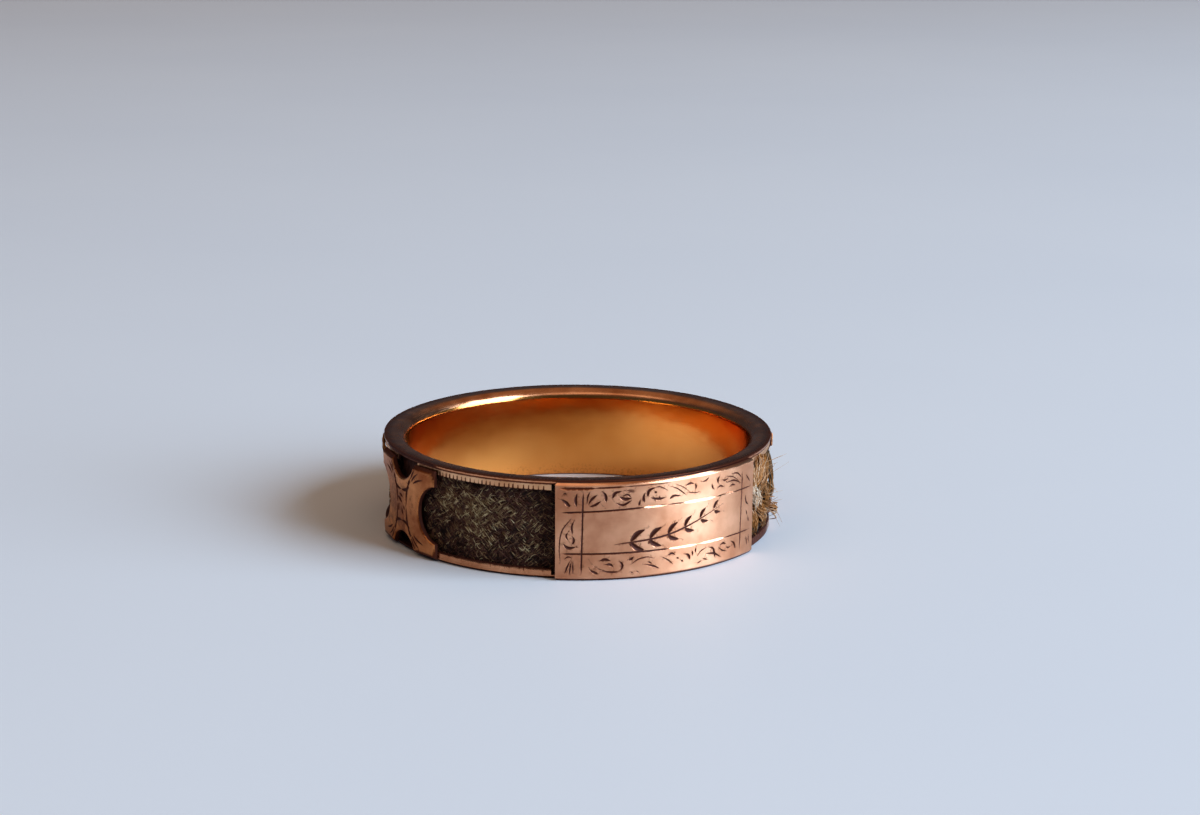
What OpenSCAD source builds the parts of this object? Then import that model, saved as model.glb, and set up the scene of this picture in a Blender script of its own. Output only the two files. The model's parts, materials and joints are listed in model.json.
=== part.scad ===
// Mourning ring with a hair band, lying flat on its side. Millimetres.
// The ring's axis is Z, the floor is z = 0, and the plaque's middle faces -Y.

/* [Band] */
// Diameter of the finger hole
bore_d = 17.7; // [15:0.1:22]
// Thickness of the sleeve round the finger
sleeve_t = 0.55; // [0.4:0.05:0.9]
// Height of the band from face to face
band_h = 4.9; // [4:0.1:8]
// Thickness of the flange at each edge of the channel
flange_t = 0.2; // [0.15:0.05:0.5]
// Depth of the channel, from the sleeve out to the flange's edge
channel_depth = 0.6; // [0.5:0.05:1.2]
// Radius worn onto the sleeve's two inner edges
worn_r = 0.55; // [0.1:0.05:0.6]

/* [Milled rims] */
// Height of each rim under its flange
rim_h = 0.29; // [0.15:0.01:0.5]
// Thickness of each rim, inwards from its face
rim_t = 0.14; // [0.1:0.01:0.25]
// How far a rim's face stays inside the flange's edge
rim_inset = 0.06; // [0.02:0.01:0.15]
// Gap between a rim's end and the plaque
rim_end_gap = 0.2; // [0.1:0.05:0.5]

/* [Plaque] */
// Length of the plaque round its outside
plaque_l = 11.5; // [8:0.1:16]
// Thickness of the plaque
plaque_t = 0.32; // [0.25:0.01:0.6]
// How far the plaque stays inside each face of the band
plaque_inset = 0.02; // [0.01:0.01:0.2]
// Height of the bevel along the plaque's long edges
plaque_bevel_h = 0.2; // [0.05:0.01:0.4]
// How far that bevel cuts into the plaque's face
plaque_bevel_d = 0.14; // [0.05:0.01:0.2]

/* [Saddle plates] */
// Angle from the plaque's middle to the nearer saddle plates
near_angle = 84.5; // [80:0.5:95]
// Angle from the plaque's middle to the farther saddle plates
far_angle = 145; // [135:0.5:155]
// Length of a saddle plate round its outside
saddle_l = 5.5; // [4.8:0.1:7]
// How far a saddle plate stays inside the faces of the band, on average
saddle_inset = 0.2; // [0.12:0.01:0.4]
// Thickness of a saddle plate
saddle_t = 0.24; // [0.2:0.01:0.5]
// Bevel along a saddle plate's long edges
saddle_bevel = 0.1; // [0.03:0.01:0.15]
// How far a saddle plate's middle lies under the band's middle
saddle_drop = 0.1; // [0:0.01:0.15]
// Radius of the bites in the two long edges
edge_bite_r = 1.12; // [0.8:0.02:1.3]
// Depth of the bites in the two long edges
edge_bite_depth = 0.86; // [0.5:0.02:1]
// Radius of the bites in the two ends
end_bite_r = 1.47; // [1:0.01:1.6]
// Depth of the bites in the two ends
end_bite_depth = 1.24; // [0.8:0.02:1.3]

/* [Fits] */
// Clearance between a plate and the metal that it is seated on
seat_gap = 0.02; // [0.01:0.01:0.05]
// Clearance round the hair in its channel and under the rims
hair_gap = 0.03; // [0.02:0.01:0.08]

/* [Hidden] */
$fn = 96;
// Overlap of soldered shapes, and reach of a cut past the surface
merge = 0.01;
past = 1;
bore_r = bore_d / 2;
floor_r = bore_r + sleeve_t;
flange_r = floor_r + channel_depth;
rim_r = flange_r - rim_inset;
hair_in_r = floor_r + hair_gap;
hair_out_r = rim_r - rim_t - hair_gap;
seat_r = flange_r + seat_gap;
plaque_r = seat_r + plaque_t;
saddle_r = seat_r + saddle_t;
saddle_h = band_h - 2 * saddle_inset;
saddle_mid_z = band_h / 2 - saddle_drop;
// Degrees for each millimetre of arc at a radius
function arc(length, r) = length / r * 180 / PI;
plaque_half = arc(plaque_l, plaque_r) / 2;
saddle_half = arc(saddle_l, saddle_r) / 2;
edge_bite_half = arc(sqrt(edge_bite_depth * (2 * edge_bite_r - edge_bite_depth)), saddle_r);
// Stretches of rim, as pairs of angles from the plaque's middle
rim_spans = [
    [plaque_half + arc(rim_end_gap, rim_r), near_angle - edge_bite_half],
    [near_angle + edge_bite_half, far_angle - edge_bite_half],
    [far_angle + edge_bite_half, 360 - far_angle - edge_bite_half],
    [360 - far_angle + edge_bite_half, 360 - near_angle - edge_bite_half],
    [360 - near_angle + edge_bite_half, 360 - plaque_half - arc(rim_end_gap, rim_r)]
];

// Turns its children to an angle from the plaque's middle, to the right as seen from the plaque's side
module at_angle(a) {
    rotate([0, 0, a - 90]) children();
}

// A ring segment from one angle to another, swept from a profile drawn in (radius, height)
module swept(from, to) {
    at_angle(from) rotate_extrude(angle = to - from) children();
}

// Section of the sleeve's wall and its two flanges
module band_profile() {
    difference() {
        translate([bore_r, 0]) square([flange_r - bore_r, band_h]);
        translate([floor_r, flange_t]) square([channel_depth + past, band_h - 2 * flange_t]);
        for (low = [true, false])
            translate([bore_r, low ? 0 : band_h]) mirror([0, low ? 0 : 1]) worn_corner();
    }
}

// What wear has taken off one inner edge
module worn_corner() {
    difference() {
        translate([-past, -past]) square(worn_r + past);
        translate([worn_r, worn_r]) circle(r = worn_r);
    }
}

module band() {
    color([0.80, 0.52, 0.38]) {
        union() {
            rotate_extrude() band_profile();
            for (span = rim_spans)
                for (z = [flange_t - merge, band_h - flange_t - rim_h])
                    swept(span[0], span[1]) translate([rim_r - rim_t, z]) square([rim_t, rim_h + merge]);
        }
    }
}

module hair() {
    color([0.20, 0.15, 0.11])
        rotate_extrude()
            translate([hair_in_r, flange_t + hair_gap]) square([hair_out_r - hair_in_r, band_h - 2 * (flange_t + hair_gap)]);
}

// Section of a plate: flat on its seat, with both outer edges bevelled
module plate_profile(r, t, z, h, bevel_d, bevel_h) {
    translate([r, z])
        polygon([[0, 0], [t - bevel_d, 0], [t, bevel_h], [t, h - bevel_h], [t - bevel_d, h], [0, h]]);
}

module plaque() {
    color([0.86, 0.62, 0.50])
        swept(-plaque_half, plaque_half)
            plate_profile(seat_r, plaque_t, plaque_inset, band_h - 2 * plaque_inset, plaque_bevel_d, plaque_bevel_h);
}

// A round hole drilled through the plate, a distance round from its middle and up from it
module bite(along, up, r) {
    at_angle(arc(along, saddle_r)) translate([seat_r - past, 0, saddle_mid_z + up])
        rotate([0, 90, 0]) cylinder(h = saddle_t + 2 * past, r = r);
}

module saddle(a) {
    color([0.80, 0.53, 0.40])
        rotate([0, 0, a])
            difference() {
                swept(-saddle_half, saddle_half)
                    plate_profile(seat_r, saddle_t, saddle_mid_z - saddle_h / 2, saddle_h, saddle_bevel, saddle_bevel);
                for (side = [-1, 1]) {
                    bite(0, side * (saddle_h / 2 - edge_bite_depth + edge_bite_r), edge_bite_r);
                    bite(side * (saddle_l / 2 - end_bite_depth + end_bite_r), 0, end_bite_r);
                }
            }
}

module saddle_right() {
    saddle(near_angle);
}

module saddle_back_right() {
    saddle(far_angle);
}

module saddle_back_left() {
    saddle(-far_angle);
}

module saddle_left() {
    saddle(-near_angle);
}

band();
hair();
plaque();
saddle_right();
saddle_back_right();
saddle_back_left();
saddle_left();
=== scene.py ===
# %% [markdown]
# A mourning ring with a hair band
#
# This lesson dresses a finished CAD model of a small antique ring. The ring is a rose gold hoop whose
# outside is a channel filled with woven hair. A long engraved plaque and small plates with concave sides
# hold the hair down. We load the model as a fixed frame, set the camera and the light, and then make
# each piece again with the detail that a jeweller's loupe would show.

import json
import math

import bmesh
import bpy
import numpy as np
from mathutils import Matrix, Vector, noise
from mathutils.geometry import delaunay_2d_cdt


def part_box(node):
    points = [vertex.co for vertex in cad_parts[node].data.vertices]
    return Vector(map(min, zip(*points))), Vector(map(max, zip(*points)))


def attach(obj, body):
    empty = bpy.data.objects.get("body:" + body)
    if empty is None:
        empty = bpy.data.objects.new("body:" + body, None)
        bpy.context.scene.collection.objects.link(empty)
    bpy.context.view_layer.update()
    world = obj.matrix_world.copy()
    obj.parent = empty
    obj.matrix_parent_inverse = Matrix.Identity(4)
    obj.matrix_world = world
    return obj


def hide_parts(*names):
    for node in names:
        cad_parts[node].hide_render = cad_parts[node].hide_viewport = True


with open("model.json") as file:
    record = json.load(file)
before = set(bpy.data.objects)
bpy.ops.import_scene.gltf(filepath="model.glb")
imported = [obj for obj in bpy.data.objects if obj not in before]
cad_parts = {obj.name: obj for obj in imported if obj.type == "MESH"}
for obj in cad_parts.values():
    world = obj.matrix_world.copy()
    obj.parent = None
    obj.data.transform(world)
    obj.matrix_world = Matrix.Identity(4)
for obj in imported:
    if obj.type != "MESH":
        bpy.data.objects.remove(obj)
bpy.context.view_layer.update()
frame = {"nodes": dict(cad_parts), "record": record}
print("nodes:", sorted(frame["nodes"]))

# %% [markdown]
# Everything on a ring is easiest to place by an angle round it, a radius and a height. We measure
# the angle from the middle of the plaque, which faces -Y, and count it to the right as seen from outside.
# Blender works in metres, and a jeweller in millimetres, so one number turns one into the other.

# %% Sizes read from the frame, in millimetres
MM = 0.001


def size_of(node):
    low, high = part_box(node)
    return low / MM, high / MM


band_height = size_of("band")[1].z
flange_r = size_of("band")[1].x
bore_r = next(m["dims"]["r_mm"] for m in frame["record"]["mounts"] if m["name"] == "finger_bore")
hair_r = size_of("hair")[1].x
plaque_r = -size_of("plaque")[0].y


def plate_span(node):
    """Lowest and highest angle of a plate round the ring, then the same of its radius and its height."""
    points = np.array([v.co for v in frame["nodes"][node].data.vertices]) / MM
    middle = math.atan2(points[:, 0].mean(), -points[:, 1].mean())
    turned = np.arctan2(points[:, 0], -points[:, 1]) - middle
    turned = np.degrees((turned + math.pi) % (2 * math.pi) - math.pi + middle)
    radius = np.hypot(points[:, 0], points[:, 1])
    return turned.min(), turned.max(), radius.min(), radius.max(), points[:, 2].min(), points[:, 2].max()


for name in ("plaque", "saddle_right", "saddle_back_right"):
    print(name, [round(float(v), 2) for v in plate_span(name)])

# %% [markdown]
# The camera comes first, because every later choice is judged through it. The photograph was taken
# close up, a hand's breadth away and a little above the table, with the plaque turned to the right. A
# camera was fitted to the ring's round edges in the photograph, and the fit gave the values below. The
# camera first looks straight at the ring's middle. Then it turns until that middle falls where the
# photograph has it, low and left of the picture's centre.

# %% The camera
PICTURE_W, PICTURE_H = 1200, 815
camera_azimuth = -25.85
camera_elevation = 15.55
camera_distance = 120.0
camera_roll = 0.25
focal_px = 2302.0
ring_middle_px = Vector((577.9, 474.5))

ring_middle = Vector((0, 0, band_height / 2)) * MM
azimuth, elevation = math.radians(camera_azimuth), math.radians(camera_elevation)
towards_camera = Vector((
    math.sin(azimuth) * math.cos(elevation),
    -math.cos(azimuth) * math.cos(elevation),
    math.sin(elevation),
))
aim = (-towards_camera).to_track_quat("-Z", "Y").to_matrix().to_4x4()
off_centre = ring_middle_px - Vector((PICTURE_W / 2, PICTURE_H / 2))
yaw = math.atan(off_centre.x / focal_px)
pitch = math.atan(off_centre.y / focal_px * math.cos(yaw))
roll = math.radians(camera_roll)
turn = Matrix.Rotation(yaw, 4, "Y") @ Matrix.Rotation(pitch, 4, "X") @ Matrix.Rotation(roll, 4, "Z")

camera_data = bpy.data.cameras.new("camera")
camera_data.sensor_width = 36.0
camera_data.lens = camera_data.sensor_width * focal_px / PICTURE_W
camera_data.clip_start = 0.001
camera = bpy.data.objects.new("camera", camera_data)
bpy.context.scene.collection.objects.link(camera)
camera.matrix_world = Matrix.Translation(ring_middle + towards_camera * camera_distance * MM) @ aim @ turn
bpy.context.scene.camera = camera
print("lens: %.1f mm" % camera_data.lens)

# %% [markdown]
# Blender mixes light in linear numbers, while a colour picked by eye is an sRGB hex value. One function
# turns the second into the first, so every colour below can be read off a picker. The photograph has
# plain camera colours, so the view transform is Standard, with a look that adds a camera's contrast.

# %% Colours
bpy.context.scene.view_settings.view_transform = "Standard"
bpy.context.scene.view_settings.look = "Medium High Contrast"


def colour(hex_value):
    """Linear RGBA from an sRGB hex value such as F0BFA0."""
    shares = [int(hex_value[i:i + 2], 16) / 255 for i in (0, 2, 4)]
    return [s / 12.92 if s <= 0.04045 else ((s + 0.055) / 1.055) ** 2.4 for s in shares] + [1.0]


print("rose gold in linear numbers:", [round(v, 3) for v in colour("F0BFA0")])

# %% [markdown]
# Every material below is a small net of shader nodes. One function adds a node, sets its own settings
# and fills its inputs, with a number, a colour or a link from another node's output. Patterns are sized
# by the real thing, so a second function gives the texture scale that repeats about once in so many
# millimetres.

# %% Nodes
def add_node(tree, kind, settings=None, inputs=None):
    """Add a shader node. An input's value is a number, a colour or another node's output."""
    node = tree.nodes.new("ShaderNode" + kind)
    for name, value in (settings or {}).items():
        setattr(node, name, value)
    for name, value in (inputs or {}).items():
        if isinstance(value, bpy.types.NodeSocket):
            tree.links.new(value, node.inputs[name])
        else:
            node.inputs[name].default_value = value
    return node


def every(millimetres):
    """Texture scale for a pattern that repeats about once in so many millimetres."""
    return 1 / (millimetres * MM)


def new_material(name):
    """An empty node material, its tree and its surface input."""
    material = bpy.data.materials.new(name)
    material.use_nodes = True
    tree = material.node_tree
    tree.nodes.clear()
    return material, tree, tree.nodes.new("ShaderNodeOutputMaterial").inputs["Surface"]


print("texture scale for a pattern of 1 mm:", every(1))

# %% [markdown]
# The table is a painted white board, and it is all that the ring mirrors below its middle. Satin paint
# spreads most of the light and keeps a faint broad gloss. A very slow noise in its tone stops it from
# looking like paper. It isn't part of the object.

# %% The table
PAINT_WHITE = "ECEEF2"
PAINT_SHADE = "E5E8EE"
floor_size = 3000.0
paint_cloud_mm = 60


def satin_painted_board():
    """Satin white paint on a board: nearly all diffuse, with a faint wide gloss."""
    material, tree, surface = new_material("satin_painted_board")
    place = add_node(tree, "TexCoord").outputs["Object"]
    clouds = add_node(tree, "TexNoise", inputs={
        "Vector": place, "Scale": every(paint_cloud_mm), "Detail": 3.0,
    })
    tone = add_node(tree, "Mix", {"data_type": "RGBA"}, {
        0: clouds.outputs["Fac"], 6: colour(PAINT_WHITE), 7: colour(PAINT_SHADE),
    })
    paint = add_node(tree, "BsdfPrincipled", inputs={
        "Base Color": tone.outputs[2], "Roughness": 0.55, "IOR": 1.5, "Specular IOR Level": 0.3,
    })
    tree.links.new(paint.outputs[0], surface)
    return material


def new_object(name, points, faces, material):
    """A smooth mesh object from points in metres and the corners of each face."""
    mesh = bpy.data.meshes.new(name)
    mesh.from_pydata([tuple(p) for p in points], [], [tuple(f) for f in faces])
    mesh.materials.append(material)
    mesh.shade_smooth()
    mesh.validate()
    made = bpy.data.objects.new(name, mesh)
    bpy.context.scene.collection.objects.link(made)
    return made


half_floor = floor_size / 2 * MM
corners = [(x * half_floor, y * half_floor, 0) for x, y in ((-1, -1), (1, -1), (1, 1), (-1, 1))]
table_top = new_object("table_top", corners, [(0, 1, 2, 3)], satin_painted_board())
print("table top:", floor_size, "mm square")

# %% [markdown]
# The light is one square window to the right, seen from the camera. It makes the soft shadow on the left
# and the white flashes on every edge that leans up and to the right. A long weak lamp high on the left draws
# a gold line along the upper edges there. The rest of the room is dim, with grey walls and a warm ceiling.
# So polished gold has something dark to mirror, and the shadow turns warm where the bluish window can't
# reach. A lamp is placed by its direction as seen from the ring.

# %% The light
WINDOW_COLOUR = "CFE8FF"
TOP_LIGHT_COLOUR = "FFF6EA"
CEILING_COLOUR = "9D856E"
WALL_COLOUR = "4D5058"
wall_top, ceiling_start = 0.4, 0.8


def from_ring(turn, rise, distance):
    """A place so far from the ring, at so many degrees to the right of the camera and above the table."""
    a, e = math.radians(camera_azimuth + turn), math.radians(rise)
    towards = Vector((math.sin(a) * math.cos(e), -math.cos(a) * math.cos(e), math.sin(e)))
    return ring_middle + towards * distance * MM


def soft_lamp(name, turn, rise, distance, width, height, watts, tint):
    """A rectangular lamp that faces the ring."""
    data = bpy.data.lights.new(name, "AREA")
    data.shape = "RECTANGLE"
    data.size = width * MM
    data.size_y = height * MM
    data.energy = watts
    data.color = colour(tint)[:3]
    lamp = bpy.data.objects.new(name, data)
    bpy.context.scene.collection.objects.link(lamp)
    lamp.location = from_ring(turn, rise, distance)
    lamp.rotation_euler = (ring_middle - lamp.location).to_track_quat("-Z", "Y").to_euler()
    return lamp


window = soft_lamp(
    "window", turn=68, rise=23.5, distance=900, width=700, height=700, watts=14.0, tint=WINDOW_COLOUR,
)
soft_lamp(
    "top_light", turn=-25, rise=56, distance=900, width=1300, height=260, watts=0.65, tint=TOP_LIGHT_COLOUR,
)

world = bpy.data.worlds.new("room")
bpy.context.scene.world = world
world.use_nodes = True
room = world.node_tree
room.nodes.clear()
direction = add_node(room, "TexCoord").outputs["Generated"]
upward = add_node(room, "SeparateXYZ", inputs={"Vector": direction}).outputs["Z"]
share = add_node(room, "MapRange", {"interpolation_type": "SMOOTHSTEP"}, {
    "Value": upward, "From Min": wall_top, "From Max": ceiling_start,
})
walls_and_ceiling = add_node(room, "Mix", {"data_type": "RGBA"}, {
    0: share.outputs[0], 6: colour(WALL_COLOUR), 7: colour(CEILING_COLOUR),
})
backdrop = add_node(room, "Background", inputs={"Color": walls_and_ceiling.outputs[2], "Strength": 1.0})
room.links.new(backdrop.outputs[0], room.nodes.new("ShaderNodeOutputWorld").inputs["Surface"])
print("window:", [round(v, 3) for v in window.location])

# %% [markdown]
# The colour suggests rose gold of about nine carat, with a lot of copper in it. It is taken to be rolled
# metal, engraved by hand and then worn for many years. It could be one flat metallic colour, but old gold
# is never even. Wear leaves fine streaks that run round the ring, shallow dents bend its reflections, and
# brown tarnish stays wherever a cloth can't reach. So the net below has three layers: clouds of dull and
# clean metal, then dents, streaks and pits as bump, and last the tarnish. Rubbing along the ring also draws
# every reflection out upwards, which is what the anisotropic setting does, with a tangent that runs round
# the ring's axis. The tarnish follows a number that each mesh stores at its points, from 0 on a rubbed face
# to 1 in a cut or a seam. The same number and its browns also carry painted shade, in places along with real
# tarnish: the dark line along the ring's foot and the plaque's foot, the band beside the saddles, the
# plates' outlines, the saddles' faces and the dull frame lines. A second number, polish, marks the cuts and
# bevels that were left bright.

# %% Worn rose gold
# Browns of tarnish, which also serve as painted shade
TARNISH_AND_SHADE_BROWN = "50261A"
SADDLE_TARNISH_AND_SHADE = "5A2C1C"
TARNISH_AND_SHADE_EDGE = "744028"
streak_mm = 0.05
streak_length = 12
streak_depth = 0.0005
dent_mm = 1.1
dent_depth = 0.012
pit_mm = 0.12
pit_depth = 0.0004
patchiness = 0.3
burnished_roughness = 0.14
tarnished_roughness = 0.7
tarnished_metallic = 0.35


def worn_rose_gold(name, clean, dull, smooth, rough, grime_and_shade=TARNISH_AND_SHADE_BROWN, brushed=0.0, cloud_mm=1.6):
    """Rolled rose gold after long wear: a tinted mirror blurred by streaks, brown with tarnish and painted
    shade.
    """
    material, tree, surface = new_material(name)
    place = add_node(tree, "TexCoord").outputs["Object"]
    clouds = add_node(tree, "TexNoise", inputs={"Vector": place, "Scale": every(cloud_mm), "Detail": 4.0})
    cloudy = add_node(tree, "MapRange", inputs={
        "Value": clouds.outputs["Fac"], "From Min": 0.35, "From Max": 0.68,
    })
    metal = add_node(tree, "Mix", {"data_type": "RGBA"}, {
        0: cloudy.outputs[0], 6: colour(clean), 7: colour(dull),
    })
    lying = add_node(tree, "Mapping", inputs={"Vector": place, "Scale": (1, 1, streak_length)})
    streaks = add_node(tree, "TexNoise", inputs={
        "Vector": lying.outputs[0], "Scale": every(streak_mm * streak_length), "Detail": 3.0,
    })
    pits = add_node(tree, "TexNoise", inputs={"Vector": place, "Scale": every(pit_mm), "Detail": 2.0})
    dents = add_node(tree, "TexNoise", inputs={"Vector": place, "Scale": every(dent_mm), "Detail": 1.0})
    blur = add_node(tree, "MapRange", inputs={
        "Value": streaks.outputs["Fac"], "From Min": 0.3, "From Max": 0.7, "To Min": smooth, "To Max": rough,
    })
    # This stored number is tarnish, and in some places painted shade as well
    tarnish_and_shade_level = add_node(tree, "Attribute", {"attribute_name": "tarnish_and_shade"}).outputs["Fac"]
    patchy = add_node(tree, "Math", {"operation": "MULTIPLY_ADD"}, {
        0: pits.outputs["Fac"], 1: patchiness, 2: -patchiness / 2,
    })
    uneven = add_node(tree, "Math", {"operation": "ADD"}, {0: tarnish_and_shade_level, 1: patchy.outputs[0]}).outputs[0]
    halo = add_node(tree, "MapRange", inputs={"Value": uneven, "From Min": 0.08, "From Max": 0.3})
    core = add_node(tree, "MapRange", inputs={"Value": uneven, "From Min": 0.22, "From Max": 0.55})
    browned = add_node(tree, "Mix", {"data_type": "RGBA"}, {
        0: halo.outputs[0], 6: metal.outputs[2], 7: colour(TARNISH_AND_SHADE_EDGE),
    })
    darkened = add_node(tree, "Mix", {"data_type": "RGBA"}, {
        0: core.outputs[0], 6: browned.outputs[2], 7: colour(grime_and_shade),
    })
    polish = add_node(tree, "Attribute", {"attribute_name": "polish"}).outputs["Fac"]
    burnished = add_node(tree, "Mix", inputs={0: polish, 2: blur.outputs[0], 3: burnished_roughness})
    dulled = add_node(tree, "Mix", inputs={
        0: core.outputs[0], 2: burnished.outputs[0], 3: tarnished_roughness,
    })
    metallic = add_node(tree, "MapRange", inputs={
        "Value": core.outputs[0], "To Min": 1.0, "To Max": tarnished_metallic,
    })
    dented = add_node(tree, "Bump", inputs={
        "Height": dents.outputs["Fac"], "Distance": dent_depth * MM, "Strength": 1.0,
    })
    streaked = add_node(tree, "Bump", inputs={
        "Height": streaks.outputs["Fac"], "Distance": streak_depth * MM, "Strength": 1.0,
        "Normal": dented.outputs[0],
    })
    pitted = add_node(tree, "Bump", inputs={
        "Height": pits.outputs["Fac"], "Distance": pit_depth * MM, "Strength": 1.0,
        "Normal": streaked.outputs[0],
    })
    round_axis = add_node(tree, "Tangent", {"direction_type": "RADIAL", "axis": "Z"})
    gold = add_node(tree, "BsdfPrincipled", inputs={
        "Base Color": darkened.outputs[2],
        "Metallic": metallic.outputs[0],
        "Roughness": dulled.outputs[0],
        "Normal": pitted.outputs[0],
        "Tangent": round_axis.outputs[0],
        "Anisotropic": brushed,
        "Anisotropic Rotation": 0.25,
    })
    tree.links.new(gold.outputs[0], surface)
    return material


band_gold = worn_rose_gold("band_rose_gold", "DDA27C", "B97C58", smooth=0.18, rough=0.32)
rim_gold = worn_rose_gold("milled_rose_gold", "E8BE98", "CE9A72", smooth=0.32, rough=0.45)
bore_gold = worn_rose_gold("bore_yellow_gold", "F8B66C", "DE964E", smooth=0.13, rough=0.20, cloud_mm=9.0)
plaque_gold = worn_rose_gold("plaque_rose_gold", "ECB592", "C88B69", smooth=0.31, rough=0.43, brushed=0.6)
saddle_gold = worn_rose_gold(
    "saddle_rose_gold", "DE9C68", "96522E", smooth=0.26, rough=0.42, grime_and_shade=SADDLE_TARNISH_AND_SHADE, brushed=0.5,
)
print("gold:", [m.name for m in (band_gold, rim_gold, bore_gold, plaque_gold, saddle_gold)])

# %% [markdown]
# The band is a channel: a sleeve round the finger with a thin flange at each edge. Its section is the
# same all the way round, so it could be turned on a lathe, and in Blender a lathe is a loop that
# repeats one outline at many angles. The outline goes round the section once. The inner edges are worn
# to curves, the upper one wide, and under the upper flange's lip runs a fine brown seam, as in the
# photograph. The lower flange's foot is chamfered, and its dark brown is painted shade: the dark line
# where the ring stands on the table. Beside each saddle the band's outer face is also darkened with
# painted shade, and it is darker on the lower face under the burst hair. A small wobble stands for the
# unevenness of a hoop made by hand.

# %% Lofting outlines
def arc_points(middle, radius, start, end, count):
    """Points on an arc from one angle to another, in degrees."""
    turns = np.radians(np.linspace(start, end, count))
    return [(middle[0] + radius * math.cos(t), middle[1] + radius * math.sin(t)) for t in turns]


def bent(flat):
    """Points in metres from an array whose last axis holds degrees round the ring, radius and height."""
    a = np.radians(flat[..., 0])
    return np.stack([flat[..., 1] * np.sin(a), -flat[..., 1] * np.cos(a), flat[..., 2]], -1) * MM


def loft(rings, wrap):
    """Points and faces of a skin over closed outlines. wrap joins the last outline to the first."""
    count, around = rings.shape[:2]
    faces = []
    for i in range(count if wrap else count - 1):
        here, there = i * around, (i + 1) % count * around
        for k in range(around):
            ahead = (k + 1) % around
            faces.append((here + k, there + k, there + ahead, here + ahead))
    if not wrap:
        faces.append(tuple(reversed(range(around))))
        faces.append(tuple(range((count - 1) * around, count * around)))
    return rings.reshape(-1, 3), faces


def wobble(angle, seed):
    """A smooth handmade unevenness from -1 to 1 that closes on itself round the ring."""
    a = math.radians(angle)
    return noise.noise(Vector((2.2 * math.sin(a), 2.2 * math.cos(a), seed)))


# %% The band's section
flange_t = 0.2
channel_depth = 0.6
channel_round = 0.05
channel_floor_r = flange_r - channel_depth
worn_r = 0.55
lower_worn_r = 0.15
edge_r = 0.03
lip_h = 0.105
foot_h = 0.11
foot_d = 0.14
seam_depth = 0.03
band_columns = 720
hoop_wobble = 0.006
height_wobble = 0.01
# Painted shade beside a saddle and darkening under the fray: how dark, and degrees of reach and fade
saddle_painted_shade, saddle_painted_shade_reach, saddle_painted_shade_fade = 0.75, 16, 3
fray_darker, fray_darker_reach, fray_darker_fade = 0.5, 24, 8
plaque_half = plate_span("plaque")[1]
near_angle = sum(plate_span("saddle_right")[:2]) / 2
far_angle = sum(plate_span("saddle_back_right")[:2]) / 2


def band_outline():
    """(radius, height, tarnish and painted shade) rows, from the bore's bottom up, over and down the
    outside.
    """
    top = band_height
    low_r = lower_worn_r
    rows = [(r, z, 0.1) for r, z in arc_points((bore_r + low_r, low_r), low_r, 270, 180, 7)]
    rows += [(bore_r, z, 0.0) for z in np.linspace(low_r, top - worn_r, 5)[1:-1]]
    rows += [(r, z, 0.0) for r, z in arc_points((bore_r + worn_r, top - worn_r), worn_r, 180, 90, 9)]
    rows += [(r, z, 0.35) for r, z in arc_points((flange_r - edge_r, top - edge_r), edge_r, 90, 15, 4)]
    rows += [(flange_r, top - lip_h, 0.0), (flange_r - seam_depth, top - lip_h - 0.04, 0.3)]
    rows += [(flange_r - seam_depth, top - flange_t + 0.01, 0.4), (flange_r - 0.05, top - flange_t, 0.4)]
    rows += [(channel_floor_r + channel_round, top - flange_t, 1.0)]
    rows += [(channel_floor_r, top - flange_t - channel_round, 1.0)]
    rows += [(channel_floor_r, flange_t + channel_round, 1.0)]
    rows += [(channel_floor_r + channel_round, flange_t, 1.0)]
    rows += [(flange_r - 0.04, flange_t, 0.2), (flange_r, flange_t - 0.015, 0.0)]
    # The foot's chamfer is darkened as painted shade, the dark line where the ring stands on the table
    rows += [(flange_r, foot_h + 0.02, 0.0), (flange_r - 0.015, foot_h - 0.02, 0.6)]
    rows += [(flange_r - foot_d, 0.01, 0.8), (flange_r - foot_d - 0.02, 0.0, 0.8)]
    return np.array(rows)


def beside_saddle(angle):
    """1 on the band next to a saddle, where painted shade darkens it, and 0 in the windows."""
    gaps = [abs((angle - at + 180) % 360 - 180) for at in (near_angle, far_angle, -far_angle, -near_angle)]
    return min(1.0, max(0.0, (saddle_painted_shade_reach - min(gaps)) / saddle_painted_shade_fade))


def under_fray(angle):
    """1 on the lower rim under the burst hair, where it is darker, and 0 a little farther round."""
    past_plaque = (angle - plaque_half) % 360
    return min(1.0, max(0.0, (fray_darker_reach - past_plaque) / fray_darker_fade))


def out_of_round(angle):
    """How far the handmade hoop stands in or out of a true circle, in millimetres."""
    return hoop_wobble * wobble(angle, 1.5)


section = band_outline()
band_angles = np.linspace(-180, 180, band_columns, endpoint=False)
band_rings = np.zeros((band_columns, len(section), 3))
for i, angle in enumerate(band_angles):
    band_rings[i, :, 0] = angle
    outer = section[:, 0] > channel_floor_r
    band_rings[i, :, 1] = section[:, 0] + outer * out_of_round(angle)
    upper = section[:, 1] > band_height / 2
    band_rings[i, :, 2] = section[:, 1] + upper * height_wobble * wobble(angle, 7.5)
band_points, band_faces = loft(bent(band_rings), wrap=True)
beside_saddle_shade = np.array([beside_saddle(angle) for angle in band_angles])
under_fray_darker = np.array([under_fray(angle) for angle in band_angles])
outer_face = section[:, 0] > flange_r - edge_r
low_face = outer_face * (section[:, 1] < band_height / 2)
# Painted shade on the outer faces beside each saddle, and a darker lower face under the fray
band_tarnish_and_shade = np.maximum(section[:, 2], saddle_painted_shade * beside_saddle_shade[:, None] * outer_face)
band_tarnish_and_shade = np.maximum(band_tarnish_and_shade, fray_darker * under_fray_darker[:, None] * low_face).reshape(-1)
print("band outline:", len(section), "points,", len(band_faces), "faces")

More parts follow.
